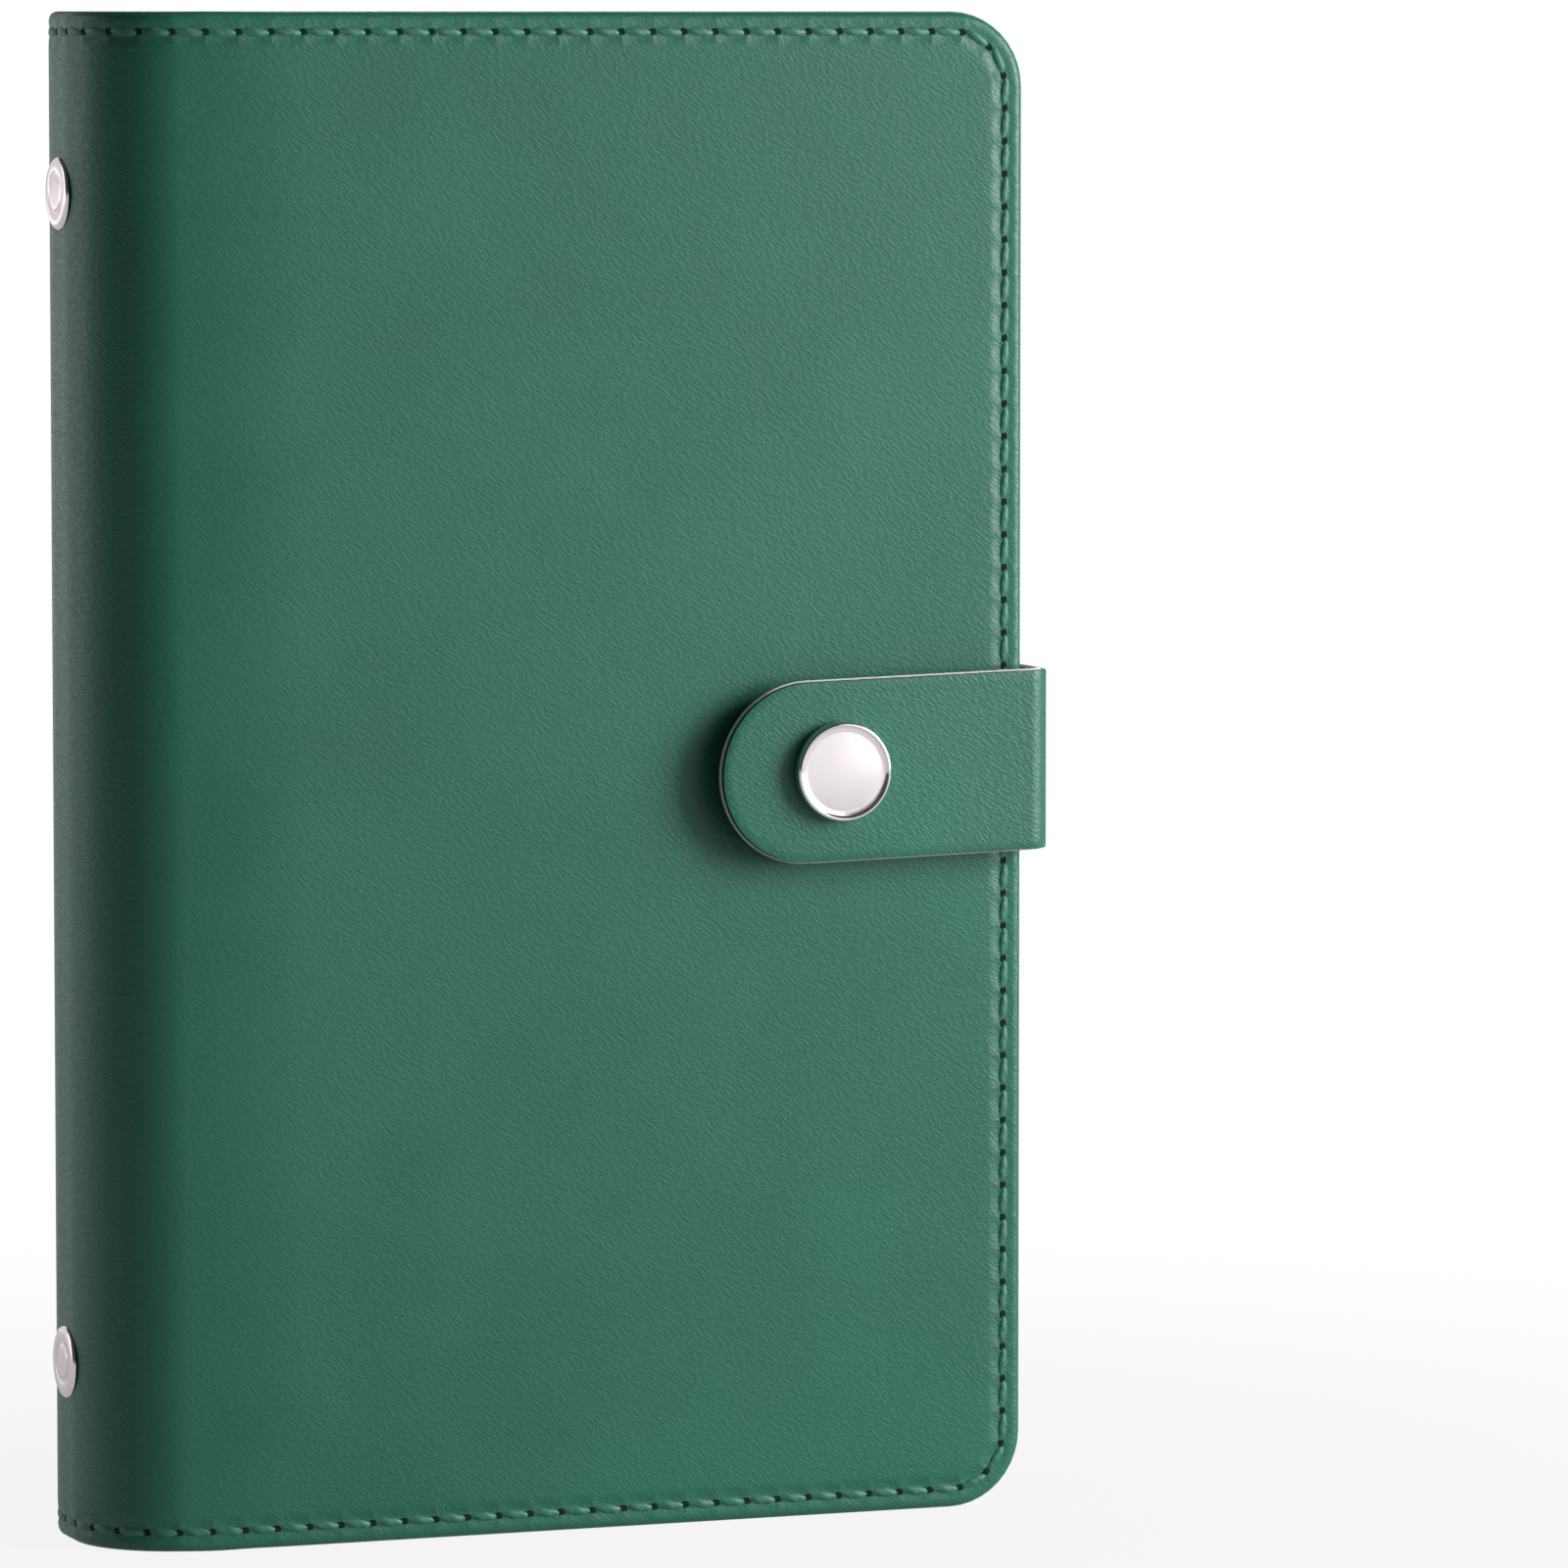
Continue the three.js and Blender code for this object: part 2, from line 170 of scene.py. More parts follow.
class FilmSettings(PropertyGroup):
    sheet_thickness: FloatProperty(
        name="Welded edge", description="Thickness of the two welded sheets",
        default=0.26 * MM, unit="LENGTH")
    hole_radius: FloatProperty(
        name="Hole radius", description="Radius of the punched ring holes",
        default=3 * MM, unit="LENGTH")
    hole_margin: FloatProperty(
        name="Hole margin", description="From the binding edge to the holes' centres",
        default=5.5 * MM, unit="LENGTH")
    pocket_swell: FloatProperty(
        name="Swell", description="How far each pocket's sheet bows out",
        default=0.3 * MM, unit="LENGTH")
    weld_width: FloatProperty(
        name="Weld", description="Width of the welds along the top and the bottom",
        default=2.5 * MM, unit="LENGTH")
    mouth_hem: FloatProperty(
        name="Mouth", description="Width of the hem at the open fore edge",
        default=1 * MM, unit="LENGTH")
    film_colour: FloatVectorProperty(
        name="Film", description="Tint of the clear film",
        default=(0.86, 0.92, 0.94), subtype="COLOR", size=3)


class StageSettings(PropertyGroup):
    camera_place: FloatVectorProperty(
        name="Camera", description="Where the camera stands",
        default=(-0.3948, -1.1214, 0.1901), subtype="XYZ", size=3)
    camera_turn: FloatProperty(
        name="Turn", description="The camera's turn about the vertical",
        default=math.radians(-20.87), subtype="ANGLE")
    camera_tilt: FloatProperty(
        name="Tilt", description="How far the camera looks down",
        default=math.radians(4.67), subtype="ANGLE")
    focal_length: FloatProperty(
        name="Focal length", description="Focal length in mm on a 36 mm sensor",
        default=217.4)
    key_energy: FloatProperty(
        name="Key", description="Power of the main soft light", default=5.6)
    card_energy: FloatProperty(
        name="Card", description="Power of the wide card that the leather shines from",
        default=5.0)
    side_energy: FloatProperty(
        name="Side", description="Power of the light on the spine", default=6.0)
    floor_colour: FloatVectorProperty(
        name="Floor", description="Colour of the floor",
        default=(0.4, 0.4, 0.4), subtype="COLOR", size=3)


# Meshes and objects

def finish_object(name, bm, material, smooth_angle=40.0, material_slots=()):
    """Turn a bmesh into an object with a material, smooth below an angle."""
    mesh = bpy.data.meshes.new(name)
    bm.to_mesh(mesh)
    bm.free()
    mesh.polygons.foreach_set("use_smooth", [True] * len(mesh.polygons))
    mesh.set_sharp_from_angle(angle=math.radians(smooth_angle))
    mesh.materials.append(material)
    for extra in material_slots:
        mesh.materials.append(extra)
    piece = bpy.data.objects.new(name, mesh)
    bpy.context.scene.collection.objects.link(piece)
    return piece


def verts_of(geometry):
    return [item for item in geometry if isinstance(item, bmesh.types.BMVert)]


def follow(path, along, depth):
    """A point on a path of straights and right-hand bends, sunk by a depth."""
    x, y, heading = path["start"]
    last = len(path["runs"]) - 1
    for index, (length, radius) in enumerate(path["runs"]):
        step = along if index == last else min(along, length)
        if radius is None:
            x += step * math.cos(heading)
            y += step * math.sin(heading)
        else:
            centre_x = x + radius * math.sin(heading)
            centre_y = y - radius * math.cos(heading)
            heading -= step / radius
            x = centre_x - radius * math.sin(heading)
            y = centre_y + radius * math.cos(heading)
        along -= step
        if along <= 0:
            break
    return x + depth * math.sin(heading), y - depth * math.cos(heading)


def bend_along(bm, path):
    """Roll flat geometry, in length, depth and height, along a path."""
    for vert in bm.verts:
        x, y = follow(path, vert.co.x, vert.co.y)
        vert.co.x = x
        vert.co.y = y
    bmesh.ops.recalc_face_normals(bm, faces=bm.faces[:])


def bend_stations(path, step_angle):
    """The lengths at which a path needs a cut so that it bends smoothly."""
    stations = []
    start = 0.0
    for length, radius in path["runs"]:
        if radius is not None:
            count = max(4, round(math.degrees(length / radius) / step_angle))
            stations += [start + length * i / count for i in range(count + 1)]
        start += length
    return stations


def cut_across(bm, stations, normal=(1, 0, 0)):
    """Cut every face where it crosses the planes at the given stations."""
    axis = Vector(normal)
    for station in stations:
        geometry = bm.verts[:] + bm.edges[:] + bm.faces[:]
        bmesh.ops.bisect_plane(
            bm, geom=geometry, dist=WELD_DISTANCE, plane_co=axis * station, plane_no=axis)


def rounded_plate(corners, steps, rim):
    """A flat plate. Each corner has a centre, a radius and a first angle.

    The rim is a list of insets and depths, from the outer face to the inner.
    """
    bm = bmesh.new()
    stop = bm.verts.layers.int.new("stop")

    def place(index, inset, depth):
        centre_u, centre_z, radius, first = corners[index // (steps + 1)]
        angle = first + math.pi / 2 * (index % (steps + 1)) / steps
        reach = radius - inset
        return (centre_u + reach * math.cos(angle), depth, centre_z + reach * math.sin(angle))

    count = len(corners) * (steps + 1)
    loop = []
    for index in range(count):
        vert = bm.verts.new(place(index, *rim[0]))
        vert[stop] = index
        loop.append(vert)
    edges = [bm.edges.new((loop[i], loop[(i + 1) % count])) for i in range(count)]
    bmesh.ops.contextual_create(bm, geom=edges)
    for inset, depth in rim[1:]:
        extruded = bmesh.ops.extrude_edge_only(bm, edges=edges)["geom"]
        for vert in verts_of(extruded):
            vert.co = place(vert[stop], inset, depth)
        edges = [item for item in extruded if isinstance(item, bmesh.types.BMEdge)
                 and item.is_boundary]
    bmesh.ops.contextual_create(bm, geom=edges)
    bmesh.ops.remove_doubles(bm, verts=bm.verts[:], dist=WELD_DISTANCE)
    bmesh.ops.recalc_face_normals(bm, faces=bm.faces[:])
    return bm


def turned(profile, steps, point, direction):
    """A turned shape from pairs of radius and height, set at a point along a direction."""
    bm = bmesh.new()
    verts = [bm.verts.new((radius, 0, height)) for radius, height in profile]
    edges = [bm.edges.new(pair) for pair in zip(verts, verts[1:])]
    bmesh.ops.spin(
        bm, geom=verts + edges, cent=(0, 0, 0), axis=(0, 0, 1), dvec=(0, 0, 0),
        angle=math.tau, steps=steps, use_merge=True)
    bmesh.ops.remove_doubles(bm, verts=bm.verts[:], dist=WELD_DISTANCE)
    bmesh.ops.recalc_face_normals(bm, faces=bm.faces[:])
    bmesh.ops.transform(bm, matrix=facing(point, direction), verts=bm.verts[:])
    return bm


def facing(point, direction):
    """A matrix that takes +Z to a direction at a point."""
    turn = Vector((0, 0, 1)).rotation_difference(Vector(direction)).to_matrix().to_4x4()
    return Matrix.Translation(point) @ turn


# Materials

class Nodes:
    """A material's node tree, with short calls to add and join nodes."""

    def __init__(self, name):
        self.material = bpy.data.materials.new(name)
        self.material.use_nodes = True
        self.tree = self.material.node_tree
        self.tree.nodes.clear()
        self.output = self.tree.nodes.new("ShaderNodeOutputMaterial")

    def add(self, kind, **settings):
        node = self.tree.nodes.new(kind)
        for key, value in settings.items():
            setattr(node, key, value)
        return node

    def join(self, source, target):
        self.tree.links.new(source, target)

    def feed(self, socket, value):
        if isinstance(value, bpy.types.NodeSocket):
            self.join(value, socket)
        else:
            socket.default_value = value

    def math(self, operation, first, second=None):
        node = self.add("ShaderNodeMath", operation=operation)
        self.feed(node.inputs[0], first)
        if second is not None:
            self.feed(node.inputs[1], second)
        return node.outputs[0]

    def smooth(self, value, low, high, start=0.0, end=1.0):
        """A soft step from start to end as the value goes from low to high."""
        node = self.add("ShaderNodeMapRange", interpolation_type="SMOOTHSTEP")
        for socket, item in zip(node.inputs, (value, low, high, start, end)):
            self.feed(socket, item)
        return node.outputs[0]

    def mix(self, factor, first, second):
        node = self.add("ShaderNodeMix", data_type="RGBA")
        self.feed(node.inputs[0], factor)
        self.feed(node.inputs[6], first)
        self.feed(node.inputs[7], second)
        return node.outputs[2]

    def place(self):
        """The object's own coordinates."""
        return self.add("ShaderNodeTexCoord").outputs["Object"]

    def noise(self, place, scale, detail=2.0):
        node = self.add("ShaderNodeTexNoise")
        self.feed(node.inputs["Vector"], place)
        self.feed(node.inputs["Scale"], scale)
        self.feed(node.inputs["Detail"], detail)
        return node

    def bump(self, height, strength, distance):
        node = self.add("ShaderNodeBump")
        self.feed(node.inputs["Strength"], strength)
        self.feed(node.inputs["Distance"], distance)
        self.feed(node.inputs["Height"], height)
        return node.outputs[0]

    def principled(self, **inputs):
        shader = self.add("ShaderNodeBsdfPrincipled")
        for key, value in inputs.items():
            self.feed(shader.inputs[key.replace("_", " ")], value)
        self.join(shader.outputs[0], self.output.inputs[0])
        return shader


def shade(colour, factor):
    """A colour made darker or lighter, with its alpha."""
    return tuple(min(1.0, channel * factor) for channel in colour) + (1.0,)


def leather_grain(nodes, colour):
    """Fine pebbled grain: its colour, roughness and height."""
    place = nodes.place()
    warp = nodes.noise(place, 300.0, 3.0)
    stretch = nodes.add("ShaderNodeMapping", vector_type="TEXTURE")
    nodes.feed(stretch.inputs["Vector"], place)
    stretch.inputs["Rotation"].default_value = (0.0, math.radians(35), 0.0)
    stretch.inputs["Scale"].default_value = (1.0, 1.0, 0.4)
    pebble = nodes.add("ShaderNodeTexVoronoi", feature="F1")
    nodes.feed(pebble.inputs["Scale"], 1150.0)
    shifted = nodes.add("ShaderNodeVectorMath", operation="MULTIPLY_ADD")
    nodes.join(warp.outputs["Color"], shifted.inputs[0])
    shifted.inputs[1].default_value = (0.001, 0.001, 0.001)
    nodes.join(stretch.outputs[0], shifted.inputs[2])
    nodes.join(shifted.outputs[0], pebble.inputs["Vector"])
    mottle = nodes.noise(place, 48.0, 4.0)
    grit = nodes.noise(stretch.outputs[0], 1400.0)
    cell = nodes.smooth(pebble.outputs["Distance"], 0.2, 0.72, 1.0, 0.0)
    tone = nodes.smooth(mottle.outputs["Fac"], 0.35, 0.68)
    base = nodes.mix(tone, shade(colour, 0.95), shade(colour, 1.06))
    base = nodes.mix(nodes.math("MULTIPLY", cell, 0.12), base, shade(colour, 1.35))
    height = nodes.math("MULTIPLY", cell, 0.7)
    height = nodes.math("ADD", height, nodes.math("MULTIPLY", grit.outputs["Fac"], 0.6))
    height = nodes.math("ADD", height, nodes.math("MULTIPLY", mottle.outputs["Fac"], 3.0))
    roughness = nodes.smooth(grit.outputs["Fac"], 0.3, 0.7, 0.36, 0.5)
    return base, roughness, height


def cover_leather(name, colour, pitch_mm, seam_mm):
    """Leather with a seam: needle holes with painted shade, puckers, painted shade along the stitch
    channel and a rolled edge with a painted highlight.

    The seam map counts stitches along the edge and millimetres in from it.
    """
    nodes = Nodes(name)
    base, roughness, height = leather_grain(nodes, colour)
    seam = nodes.add("ShaderNodeUVMap", uv_map="seam")
    split = nodes.add("ShaderNodeSeparateXYZ")
    nodes.join(seam.outputs[0], split.inputs[0])
    along, inset = split.outputs[0], split.outputs[1]
    from_hole = nodes.math("MULTIPLY", nodes.math("PINGPONG", along, 0.5), pitch_mm)
    aside = nodes.math("SUBTRACT", inset, seam_mm)
    reach_along = nodes.math("POWER", nodes.math("DIVIDE", from_hole, 0.62), 2.0)
    reach_aside = nodes.math("POWER", nodes.math("DIVIDE", nodes.math("ABSOLUTE", aside), 0.42), 2.0)
    # Needle holes: this mask sinks the bump, and in the colour below it is painted shade inside each
    # hole
    shaded_hole = nodes.smooth(nodes.math("ADD", reach_along, reach_aside), 0.55, 1.25, 1.0, 0.0)
    arch = nodes.math("ABSOLUTE", nodes.math("SINE", nodes.math("MULTIPLY", along, math.pi)))
    inner_rise = nodes.smooth(aside, 0.15, 0.75)
    inner_fall = nodes.smooth(aside, 0.8, 2.1, 1.0, 0.0)
    inner = nodes.math("MULTIPLY", inner_rise, inner_fall)
    outer_rise = nodes.smooth(aside, -0.7, -0.15, 1.0, 0.0)
    outer_fall = nodes.smooth(aside, -2.2, -0.9)
    outer = nodes.math("MULTIPLY", nodes.math("MULTIPLY", outer_rise, outer_fall), 0.55)
    pucker = nodes.math("MULTIPLY", arch, nodes.math("ADD", inner, outer))
    # Painted shade: a darker band along the stitch channel
    channel_shade = nodes.smooth(nodes.math("ABSOLUTE", aside), 0.35, 0.6, 1.0, 0.0)
    # Painted highlight: the rolled outer edge is made lighter
    edge = nodes.smooth(aside, -0.6, -0.2, 1.0, 0.0)
    base = nodes.mix(nodes.math("MULTIPLY", edge, 0.3), base, shade(colour, 1.18))
    base = nodes.mix(nodes.math("MULTIPLY", channel_shade, 0.18), base, shade(colour, 0.5))
    base = nodes.mix(nodes.math("MULTIPLY", shaded_hole, 0.96), base, shade(colour, 0.04))
    total = nodes.math("MULTIPLY", height, 0.075)
    total = nodes.math("ADD", total, nodes.math("MULTIPLY", pucker, 0.36))
    total = nodes.math("SUBTRACT", total, nodes.math("MULTIPLY", shaded_hole, 0.9))
    roughness = nodes.math("MAXIMUM", roughness, shaded_hole)
    return finish_leather(nodes, base, roughness, total, 0.45 * MM)


def plain_leather(name, colour):
    """Leather without a seam."""
    nodes = Nodes(name)
    base, roughness, height = leather_grain(nodes, colour)
    return finish_leather(nodes, base, roughness, height, 0.04 * MM)


def finish_leather(nodes, base, roughness, height, depth):
    """Join the grain to the leather's shader."""
    bump = nodes.bump(height, 0.75, depth)
    shader = nodes.principled(Base_Color=base, Roughness=roughness, Normal=bump)
    shader.inputs["Specular IOR Level"].default_value = 0.42
    return nodes.material


def thread_material(name, colour):
    """Twisted thread, with painted shade between its strands."""
    nodes = Nodes(name)
    strand = nodes.add("ShaderNodeTexWave", bands_direction="DIAGONAL")
    nodes.feed(strand.inputs["Vector"], nodes.place())
    nodes.feed(strand.inputs["Scale"], 420.0)
    nodes.feed(strand.inputs["Distortion"], 1.2)
    # Painted shade: the colour is darker in the grooves between the strands
    base = nodes.mix(strand.outputs["Fac"], shade(colour, 0.8), shade(colour, 1.15))
    bump = nodes.bump(strand.outputs["Fac"], 0.3, 0.07 * MM)
    shader = nodes.principled(Base_Color=base, Normal=bump)
    shader.inputs["Roughness"].default_value = 0.5
    return nodes.material


def fibre_material(name, colour):
    """The cut edge of the strap's backing."""
    nodes = Nodes(name)
    fibre = nodes.noise(nodes.place(), 900.0, 4.0)
    base = nodes.mix(fibre.outputs["Fac"], shade(colour, 0.8), shade(colour, 1.12))
    bump = nodes.bump(fibre.outputs["Fac"], 0.4, 0.08 * MM)
    shader = nodes.principled(Base_Color=base, Normal=bump)
    shader.inputs["Roughness"].default_value = 0.8
    return nodes.material


def metal_material(name, colour, roughness):
    """Polished plating with faint smudges and hairlines."""
    nodes = Nodes(name)
    place = nodes.place()
    smudge = nodes.noise(place, 260.0, 5.0).outputs["Fac"]
    hair = nodes.noise(place, 3200.0).outputs["Fac"]
    base = nodes.mix(smudge, shade(colour, 0.95), shade(colour, 1.04))
    rough = nodes.smooth(smudge, 0.3, 0.7, roughness, roughness + 0.05)
    bump = nodes.bump(hair, 0.12, 0.01 * MM)
    shader = nodes.principled(Base_Color=base, Roughness=rough, Normal=bump)
    shader.inputs["Metallic"].default_value = 1.0
    return nodes.material


def film_material(name, colour, density):
    """Clear film: thin, glossy and slightly wavy, denser where it is welded."""
    nodes = Nodes(name)
    wave = nodes.noise(nodes.place(), 45.0).outputs["Fac"]
    bump = nodes.bump(wave, 0.4, 0.2 * MM)
    base = nodes.mix(wave, shade(colour, 0.98), shade(colour, 1.05))
    alpha = nodes.smooth(wave, 0.3, 0.7, density, density * 1.15)
    shader = nodes.principled(Base_Color=base, Alpha=alpha, Normal=bump)
    shader.inputs["Roughness"].default_value = 0.1
    return nodes.material


# The covers' seam

def wrap_path():
    """The outer face in plan, from the front fore edge round to the back one."""
    settings = bpy.context.scene.wallet_cover
    soft, angle = settings.soft_fold, settings.soft_angle
    tight = SPINE_RADIUS - 0.5 * MM
    sunk = soft * (1 - math.cos(angle)) + tight * math.cos(angle)
    flat = BACK_Y - FRONT_Y - 2 * sunk
    panel = FORE_X - SPINE_X - soft * math.sin(angle) - tight * (1 - math.sin(angle))
    gentle, quarter = (soft * angle, soft), (tight * (math.pi / 2 - angle), tight)
    return {
        "start": (FORE_X, FRONT_Y, math.pi),
        "runs": [(panel, None), gentle, quarter, (flat, None), quarter, gentle, (panel, None)],
    }


def wrap_length(runs=7):
    """The length of the path's first runs."""
    return sum(length for length, radius in wrap_path()["runs"][:runs])


class Seam:
    """The row of stitches on the flat wrap, counted from the middle of one fore edge."""

    def __init__(self, settings):
        self.length = wrap_length()
        self.radius = settings.corner_radius
        self.inset = settings.seam_inset
        self.side = self.length - 2 * self.radius
        self.half = HEIGHT / 2 - self.radius
        self.arc = math.pi / 2 * (self.radius - self.inset)
        self.total = 2 * self.side + 4 * self.half + 4 * self.arc
        self.count = round(self.total / settings.stitch_pitch)
        self.pitch = self.total / self.count
        bend = self.radius - self.inset
        short, corner, side = (self.half, None), (self.arc, bend), (self.side, None)
        spine_end = (2 * self.half, None)
        self.runs = [short, corner, side, corner, spine_end, corner, side, corner, short]
        self.ends = [0.0]
        for length, _ in self.runs:
            self.ends.append(self.ends[-1] + length)

    def measure(self, along, height, rising):
        """The count of stitches to a point, and its distance from the edge."""
        radius = self.radius
        near_start = along < radius
        near_end = along > self.length - radius
        near_top = height > HEIGHT - radius
        near_foot = height < radius
        ends = self.ends
        if (near_start or near_end) and (near_top or near_foot):
            centre_u = radius if near_start else self.length - radius
            centre_z = HEIGHT - radius if near_top else radius
            out_u, out_z = abs(along - centre_u), abs(height - centre_z)
            inset = radius - math.hypot(out_u, out_z)
            turn = math.atan2(out_z, out_u) / (math.pi / 2)
            if near_start and near_top:
                place = ends[1] + turn * self.arc
            elif near_top:
                place = ends[3] + (1 - turn) * self.arc
            elif near_end:
                place = ends[5] + turn * self.arc
            else:
                place = ends[7] + (1 - turn) * self.arc
            return place / self.pitch, inset
        gaps = {
            "start": along, "end": self.length - along, "top": HEIGHT - height, "foot": height,
        }
        nearest = min(gaps, key=gaps.get)
        inset = gaps[nearest]
        if nearest == "start":
            above = height - HEIGHT / 2
            place = above if rising else self.total + above
        elif nearest == "top":
            place = ends[2] + along - radius
        elif nearest == "end":
            place = ends[4] + HEIGHT - radius - height
        else:
            place = ends[6] + self.length - radius - along
        return place / self.pitch, inset

    def place(self, stitch):
        """Where a stitch's middle lies on the flat wrap, and its heading there."""
        along = stitch * self.pitch
        path = {"start": (self.inset, HEIGHT / 2, math.pi / 2), "runs": self.runs}
        x, z = follow(path, along, 0.0)
        ahead_x, ahead_z = follow(path, along + 0.1 * MM, 0.0)
        return x, z, math.atan2(ahead_z - z, ahead_x - x)


def press_gutters(bm):
    """Thin the flat wrap's lining along both folds, where there is no board."""
    settings = bpy.context.scene.wallet_cover
    length = wrap_length()
    middle = wrap_length(1) + settings.gutter_place
    for vert in bm.verts:
        away = min(abs(vert.co.x - middle), abs(length - middle - vert.co.x))
        reach = min(1.0, away / settings.gutter_reach)
        vert.co.y *= 1 - 0.25 * (1 + math.cos(math.pi * reach))


def blend_at_fold(piece):
    """Bake the piece's transform into its mesh."""
    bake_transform(piece)


class WALLET_OT_leather(Operator):
    """Make the leather cover: the front with the spine, and the back"""
    bl_idname = "wallet.leather"
    bl_label = "Leather cover"

    def execute(self, context):
        settings = context.scene.wallet_cover
        seam = Seam(settings)
        radius = settings.corner_radius
        inset = settings.seam_inset
        depth = COVER_THICKNESS
        face = [(6.2 * MM, 0), (inset + 1.9 * MM, 0), (inset + 1.1 * MM, 0.03 * MM),
                (inset + 0.6 * MM, 0.11 * MM), (inset, CHANNEL_DEPTH),
                (inset - 0.6 * MM, 0.11 * MM), (inset - 1.2 * MM, 0.02 * MM),
                (0.75 * MM, 0.1 * MM), (0.32 * MM, 0.34 * MM), (0.08 * MM, 0.75 * MM),
                (0.0, 1.2 * MM)]
        rim = face + [(step, depth - sunk) for step, sunk in reversed(face)]
        length = seam.length
        corners = [
            (length - radius, HEIGHT - radius, radius, 0.0),
            (radius, HEIGHT - radius, radius, math.pi / 2),
            (radius, radius, radius, math.pi),
            (length - radius, radius, radius, 1.5 * math.pi),
        ]
        bm = rounded_plate(corners, steps=10, rim=rim)
        path = wrap_path()
        split = wrap_length(5)
        fold = wrap_length(1)
        stations = bend_stations(path, step_angle=4.0)
        # A cut at each millimetre keeps the gutters smooth
        near = [fold + step * MM for step in range(1, 18)]
        stations += near + [length - station for station in near]
        cut_across(bm, sorted(stations))
        cut_across(bm, [HEIGHT / 2], normal=(0, 0, 1))
        grid = [fold * step / 12 for step in range(1, 12)]
        cut_across(bm, grid + [length - station for station in grid])
        uv = bm.loops.layers.uv.new("seam")
        for polygon in bm.faces:
            rising = polygon.calc_center_median().z > HEIGHT / 2
            for corner in polygon.loops:
                point = corner.vert.co
                count, away = seam.measure(point.x, point.z, rising)
                corner[uv].uv = (count, away / MM)
        material = cover_leather(
            "cover_leather", settings.leather_colour, seam.pitch / MM, inset / MM)
        for name, is_front in (("leather_front", True), ("leather_back", False)):
            half = bm.copy()
            everything = half.verts[:] + half.edges[:] + half.faces[:]
            bmesh.ops.bisect_plane(
                half, geom=everything, dist=WELD_DISTANCE, plane_co=(split, 0, 0),
                plane_no=(1, 0, 0), clear_outer=is_front, clear_inner=not is_front)
            open_edges = [edge for edge in half.edges if edge.is_boundary]
            bmesh.ops.contextual_create(half, geom=open_edges)
            press_gutters(half)
            bend_along(half, path)
            piece = finish_object(name, half, material, smooth_angle=50.0)
            if is_front:
                blend_at_fold(piece)
                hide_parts("front_cover", "spine")
            else:
                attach(piece, "binder")
                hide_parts("back_cover")
        bm.free()
        return {"FINISHED"}


class WALLET_OT_stitches(Operator):
    """Sew the row of stitches round the covers, outside and inside"""
    bl_idname = "wallet.stitches"
    bl_label = "Stitches"

    def execute(self, context):
        settings = context.scene.wallet_cover
        seam = Seam(settings)
        split = wrap_length(5)
        front, back = bmesh.new(), bmesh.new()
        half = (0.44 * seam.pitch, settings.stitch_height / 2, settings.stitch_width / 2)
        scale = Matrix.Diagonal((*half, 1.0))
        lean = math.radians(7)
        for stitch in range(seam.count):
            along, height, heading = seam.place(stitch + 0.5)
            target = front if along < split else back
            for depth, side in ((CHANNEL_DEPTH, 1), (COVER_THICKNESS - CHANNEL_DEPTH, -1)):
                turn = Matrix.Rotation(-(heading + side * lean), 4, "Y")
                place = Matrix.Translation((along, depth, height))
                bmesh.ops.create_uvsphere(
                    target, u_segments=8, v_segments=6, radius=1.0, matrix=place @ turn @ scale)
        material = thread_material("thread", settings.thread_colour)
        for name, bm in (("stitches_front", front), ("stitches_back", back)):
            press_gutters(bm)
            bend_along(bm, wrap_path())
            piece = finish_object(name, bm, material, smooth_angle=80.0)
            if name == "stitches_front":
                blend_at_fold(piece)
            else:
                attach(piece, "binder")
        return {"FINISHED"}


def strap_path(settings):
    """The strap's outer face in plan, from inside the back cover to its tip."""
    face_x, face_y = wrap_high[0], tab_low[1]
    root_y = wrap_high[1]
    straight = root_y - settings.back_bend - (face_y + settings.front_bend)
    root = 1.4 * MM + face_x - settings.back_bend - FORE_X
    start_x = face_x - settings.back_bend - root
    quarter = math.pi / 2
    return {
        "start": (start_x, root_y, 0.0),
        "runs": [(root, None), (quarter * settings.back_bend, settings.back_bend),
                 (straight, None), (quarter * settings.front_bend, settings.front_bend),
                 (face_x - settings.front_bend - tab_low[0], None)],
    }


